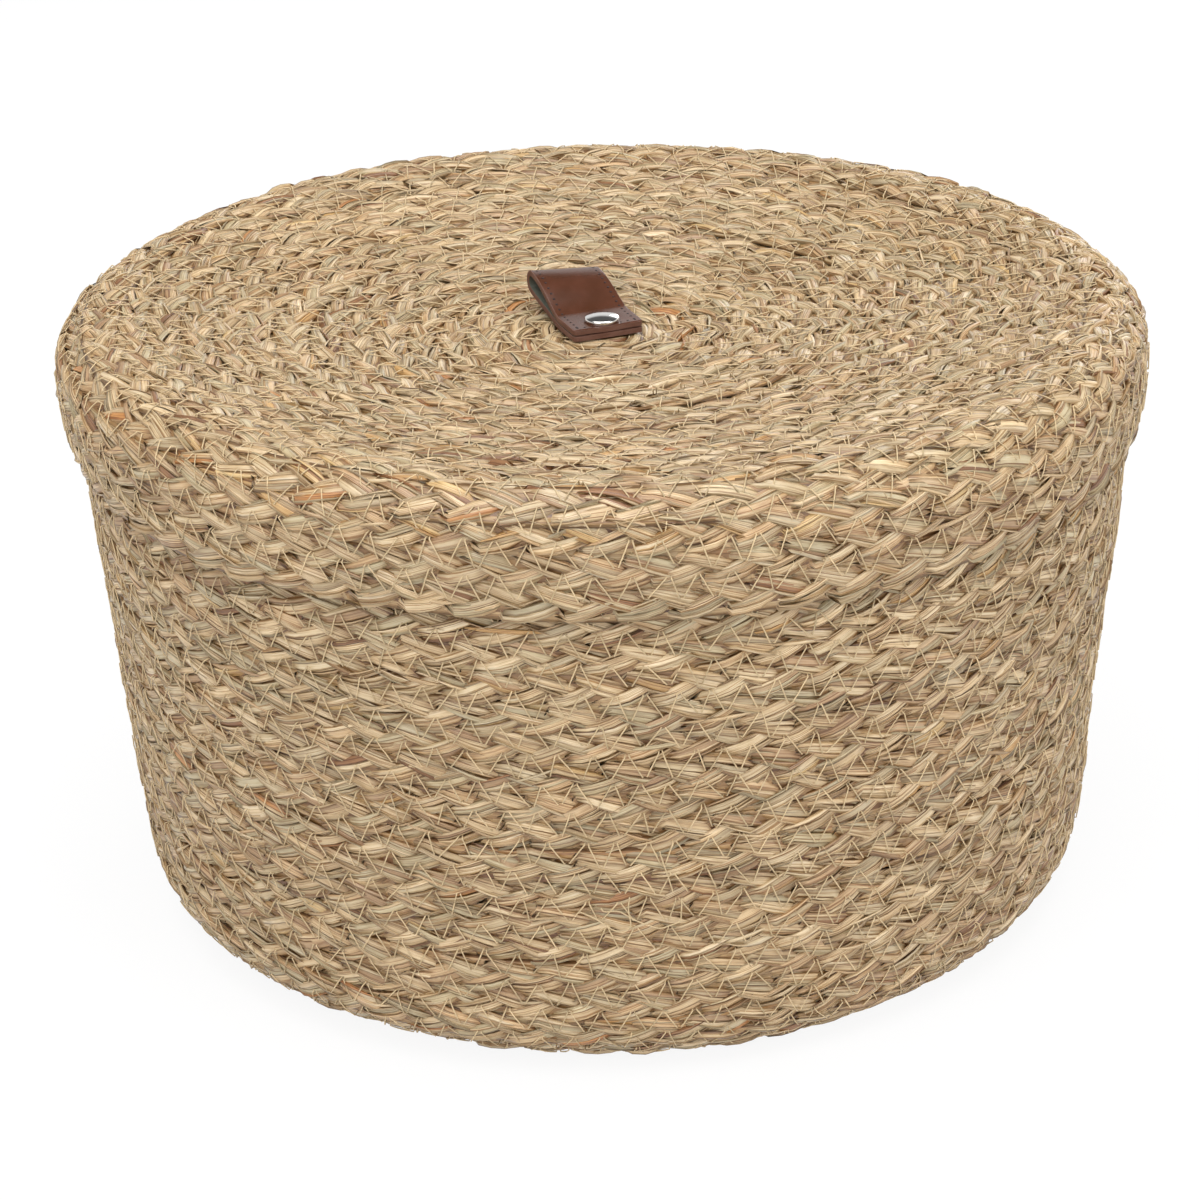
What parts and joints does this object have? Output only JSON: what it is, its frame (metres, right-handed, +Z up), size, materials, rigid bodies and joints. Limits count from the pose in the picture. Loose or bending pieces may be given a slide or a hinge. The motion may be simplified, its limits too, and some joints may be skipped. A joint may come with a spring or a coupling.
{
  "type": "lidded basket box",
  "caption": "Round storage box coiled from a sewn seagrass plait, with a dished lift-off lid that fits over the rim and a riveted leather pull.",
  "frame": {"origin": "middle of the underside of the base, on the table", "axes": "+Z up along the axis of the basket, -Y towards the viewer of the picture"},
  "size_m": [0.3199, 0.32, 0.1809],
  "materials": {
    "seagrass": "dried seagrass plait, matt with a faint sheen, mixed straw and grey-green blades",
    "sewing_thread": "pale waxed thread",
    "strap_leather": "smooth semi-gloss brown, stitched edges",
    "rivet_nickel": "polished nickel"
  },
  "bodies": {
    "basket": {"basket_base": "seagrass", "basket_wall": "seagrass"},
    "lid": {"lid_top": "seagrass", "lid_skirt": "seagrass", "rivet_cap": "rivet_nickel", "rivet_stud": "rivet_nickel"},
    "strap_foot": {"strap_lower_end": "strap_leather", "strap_upper_end": "strap_leather"},
    "strap_fold": {"strap_loop": "strap_leather"}
  },
  "joints": [
    {"name": "lid_lift", "type": "slide", "parent": "basket", "child": "lid", "axis": [0, 0, 1], "range_m": [0, 0.12]},
    {"name": "strap_swivel", "type": "hinge", "parent": "lid", "child": "strap_foot", "pos_m": [0, 0, 0.169], "axis": [0, 0, 1], "continuous": true},
    {"name": "strap_flex", "type": "hinge", "parent": "strap_foot", "child": "strap_fold", "pos_m": [-0.00272, 0.0071, 0.17095], "axis": [0.9336, 0.3584, 0], "range_deg": [0, 70], "stiffness_Nm_per_rad": 0.02}
  ]
}
